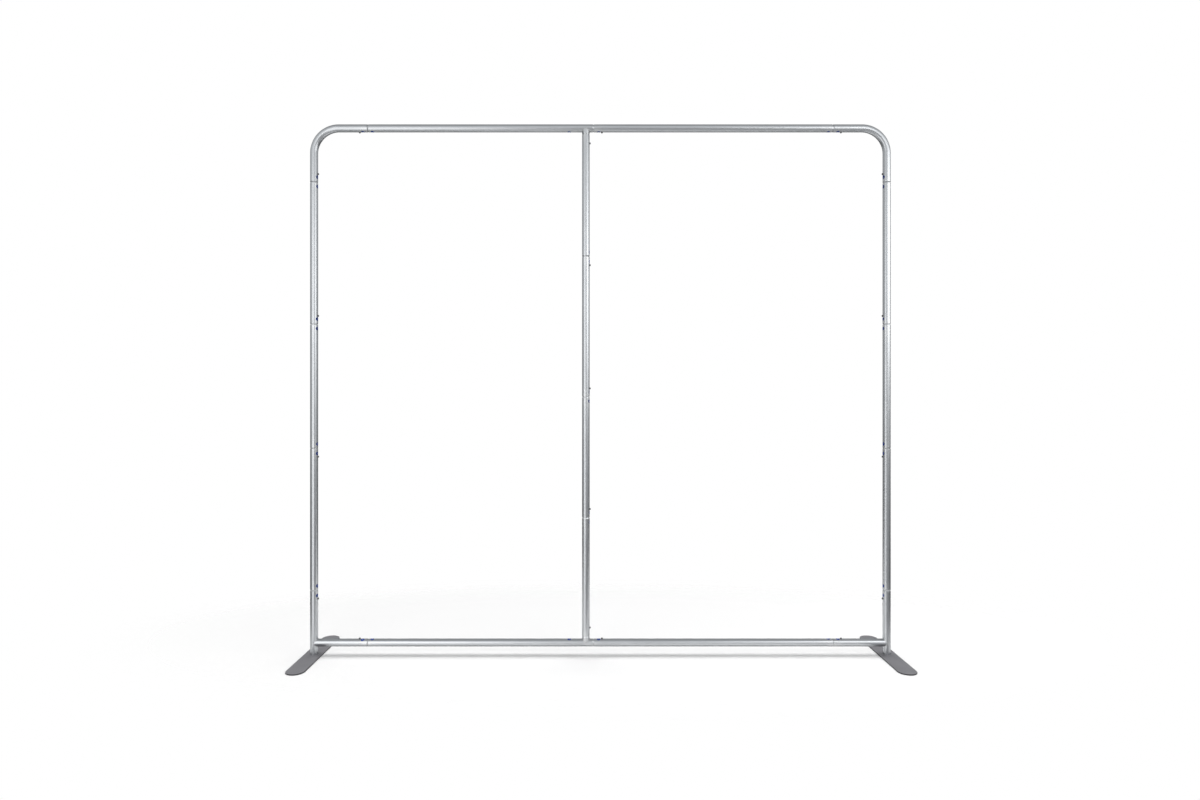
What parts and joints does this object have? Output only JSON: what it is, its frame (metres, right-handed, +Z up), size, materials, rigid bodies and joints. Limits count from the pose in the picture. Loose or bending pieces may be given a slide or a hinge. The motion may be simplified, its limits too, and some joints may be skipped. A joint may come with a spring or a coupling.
{
  "type": "display wall frame",
  "caption": "Free-standing knock-down frame of round aluminium tubes for a stretch-fabric display wall, with rounded top corners, a middle post, snap-button joints and swivelling flat feet.",
  "frame": {"origin": "on the floor, at the middle of the frame's width and of the feet's length", "axes": "+X to the right along the rails as seen from the front, +Y from the front to the back along the feet, +Z up"},
  "size_m": [2.4828, 0.4572, 2.228],
  "materials": {
    "anodised_tube": "satin anodised",
    "weld_metal": "brushed after welding",
    "label_vinyl": "satin vinyl sticker",
    "spring_steel": "plain spring steel",
    "plug_metal": "as turned",
    "screw_steel": "zinc plated",
    "foot_paint": "satin grey powder coat on steel",
    "button_steel": "dark plated steel"
  },
  "bodies": {
    "frame": {"left_base_post": "anodised_tube", "left_base_stub": "anodised_tube", "left_post_lower": "anodised_tube", "left_post_middle": "anodised_tube", "left_post_upper": "anodised_tube", "left_corner": "anodised_tube", "right_base_post": "anodised_tube", "right_base_stub": "anodised_tube", "right_post_lower": "anodised_tube", "right_post_middle": "anodised_tube", "right_post_upper": "anodised_tube", "right_corner": "anodised_tube", "bottom_rail_left": "anodised_tube", "bottom_tee_stub": "anodised_tube", "bottom_rail_right": "anodised_tube", "top_rail_left": "anodised_tube", "top_tee_stub": "anodised_tube", "top_rail_right": "anodised_tube", "centre_post_1": "anodised_tube", "centre_post_2": "anodised_tube", "centre_post_3": "anodised_tube", "centre_post_4": "anodised_tube", "weld_beads": "weld_metal", "number_labels": "label_vinyl", "spring_clips": "spring_steel", "post_plugs": "plug_metal", "foot_screws": "screw_steel"},
    "left_foot": {"left_foot_plate": "foot_paint"},
    "right_foot": {"right_foot_plate": "foot_paint"},
    "left_button_1_body": {"left_button_1": "button_steel"},
    "left_button_2_body": {"left_button_2": "button_steel"},
    "left_button_3_body": {"left_button_3": "button_steel"},
    "left_button_4_body": {"left_button_4": "button_steel"},
    "right_button_1_body": {"right_button_1": "button_steel"},
    "right_button_2_body": {"right_button_2": "button_steel"},
    "right_button_3_body": {"right_button_3": "button_steel"},
    "right_button_4_body": {"right_button_4": "button_steel"},
    "centre_button_1_body": {"centre_button_1": "button_steel"},
    "centre_button_2_body": {"centre_button_2": "button_steel"},
    "centre_button_3_body": {"centre_button_3": "button_steel"},
    "centre_button_4_body": {"centre_button_4": "button_steel"},
    "centre_button_5_body": {"centre_button_5": "button_steel"},
    "bottom_button_1_body": {"bottom_button_1": "button_steel"},
    "bottom_button_2_body": {"bottom_button_2": "button_steel"},
    "bottom_button_3_body": {"bottom_button_3": "button_steel"},
    "top_button_1_body": {"top_button_1": "button_steel"},
    "top_button_2_body": {"top_button_2": "button_steel"},
    "top_button_3_body": {"top_button_3": "button_steel"}
  },
  "joints": [
    {"name": "left_foot_swivel", "type": "hinge", "parent": "frame", "child": "left_foot", "pos_m": [-1.20332, 0, 0], "axis": [0, 0, 1], "continuous": true},
    {"name": "right_foot_swivel", "type": "hinge", "parent": "frame", "child": "right_foot", "pos_m": [1.20332, 0, 0], "axis": [0, 0, 1], "continuous": true},
    {"name": "left_button_1_press", "type": "slide", "parent": "frame", "child": "left_button_1_body", "axis": [-1, 0, 0], "range_m": [0, 0.0062], "stiffness_N_per_m": 800, "springref_m": -0.006, "deforming": ["spring_clips"]},
    {"name": "left_button_2_press", "type": "slide", "parent": "frame", "child": "left_button_2_body", "axis": [-1, 0, 0], "range_m": [0, 0.0062], "stiffness_N_per_m": 800, "springref_m": -0.006, "deforming": ["spring_clips"]},
    {"name": "left_button_3_press", "type": "slide", "parent": "frame", "child": "left_button_3_body", "axis": [-1, 0, 0], "range_m": [0, 0.0062], "stiffness_N_per_m": 800, "springref_m": -0.006, "deforming": ["spring_clips"]},
    {"name": "left_button_4_press", "type": "slide", "parent": "frame", "child": "left_button_4_body", "axis": [-1, 0, 0], "range_m": [0, 0.0062], "stiffness_N_per_m": 800, "springref_m": -0.006, "deforming": ["spring_clips"]},
    {"name": "right_button_1_press", "type": "slide", "parent": "frame", "child": "right_button_1_body", "axis": [1, 0, 0], "range_m": [0, 0.0062], "stiffness_N_per_m": 800, "springref_m": -0.006, "deforming": ["spring_clips"]},
    {"name": "right_button_2_press", "type": "slide", "parent": "frame", "child": "right_button_2_body", "axis": [1, 0, 0], "range_m": [0, 0.0062], "stiffness_N_per_m": 800, "springref_m": -0.006, "deforming": ["spring_clips"]},
    {"name": "right_button_3_press", "type": "slide", "parent": "frame", "child": "right_button_3_body", "axis": [1, 0, 0], "range_m": [0, 0.0062], "stiffness_N_per_m": 800, "springref_m": -0.006, "deforming": ["spring_clips"]},
    {"name": "right_button_4_press", "type": "slide", "parent": "frame", "child": "right_button_4_body", "axis": [1, 0, 0], "range_m": [0, 0.0062], "stiffness_N_per_m": 800, "springref_m": -0.006, "deforming": ["spring_clips"]},
    {"name": "centre_button_1_press", "type": "slide", "parent": "frame", "child": "centre_button_1_body", "axis": [-1, 0, 0], "range_m": [0, 0.0062], "stiffness_N_per_m": 800, "springref_m": -0.006, "deforming": ["spring_clips"]},
    {"name": "centre_button_2_press", "type": "slide", "parent": "frame", "child": "centre_button_2_body", "axis": [-1, 0, 0], "range_m": [0, 0.0062], "stiffness_N_per_m": 800, "springref_m": -0.006, "deforming": ["spring_clips"]},
    {"name": "centre_button_3_press", "type": "slide", "parent": "frame", "child": "centre_button_3_body", "axis": [-1, 0, 0], "range_m": [0, 0.0062], "stiffness_N_per_m": 800, "springref_m": -0.006, "deforming": ["spring_clips"]},
    {"name": "centre_button_4_press", "type": "slide", "parent": "frame", "child": "centre_button_4_body", "axis": [-1, 0, 0], "range_m": [0, 0.0062], "stiffness_N_per_m": 800, "springref_m": -0.006, "deforming": ["spring_clips"]},
    {"name": "centre_button_5_press", "type": "slide", "parent": "frame", "child": "centre_button_5_body", "axis": [-1, 0, 0], "range_m": [0, 0.0062], "stiffness_N_per_m": 800, "springref_m": -0.006, "deforming": ["spring_clips"]},
    {"name": "bottom_button_1_press", "type": "slide", "parent": "frame", "child": "bottom_button_1_body", "axis": [0, 0, -1], "range_m": [0, 0.0062], "stiffness_N_per_m": 800, "springref_m": -0.006, "deforming": ["spring_clips"]},
    {"name": "bottom_button_2_press", "type": "slide", "parent": "frame", "child": "bottom_button_2_body", "axis": [0, 0, -1], "range_m": [0, 0.0062], "stiffness_N_per_m": 800, "springref_m": -0.006, "deforming": ["spring_clips"]},
    {"name": "bottom_button_3_press", "type": "slide", "parent": "frame", "child": "bottom_button_3_body", "axis": [0, 0, -1], "range_m": [0, 0.0062], "stiffness_N_per_m": 800, "springref_m": -0.006, "deforming": ["spring_clips"]},
    {"name": "top_button_1_press", "type": "slide", "parent": "frame", "child": "top_button_1_body", "axis": [0, 0, 1], "range_m": [0, 0.0062], "stiffness_N_per_m": 800, "springref_m": -0.006, "deforming": ["spring_clips"]},
    {"name": "top_button_2_press", "type": "slide", "parent": "frame", "child": "top_button_2_body", "axis": [0, 0, 1], "range_m": [0, 0.0062], "stiffness_N_per_m": 800, "springref_m": -0.006, "deforming": ["spring_clips"]},
    {"name": "top_button_3_press", "type": "slide", "parent": "frame", "child": "top_button_3_body", "axis": [0, 0, 1], "range_m": [0, 0.0062], "stiffness_N_per_m": 800, "springref_m": -0.006, "deforming": ["spring_clips"]}
  ]
}
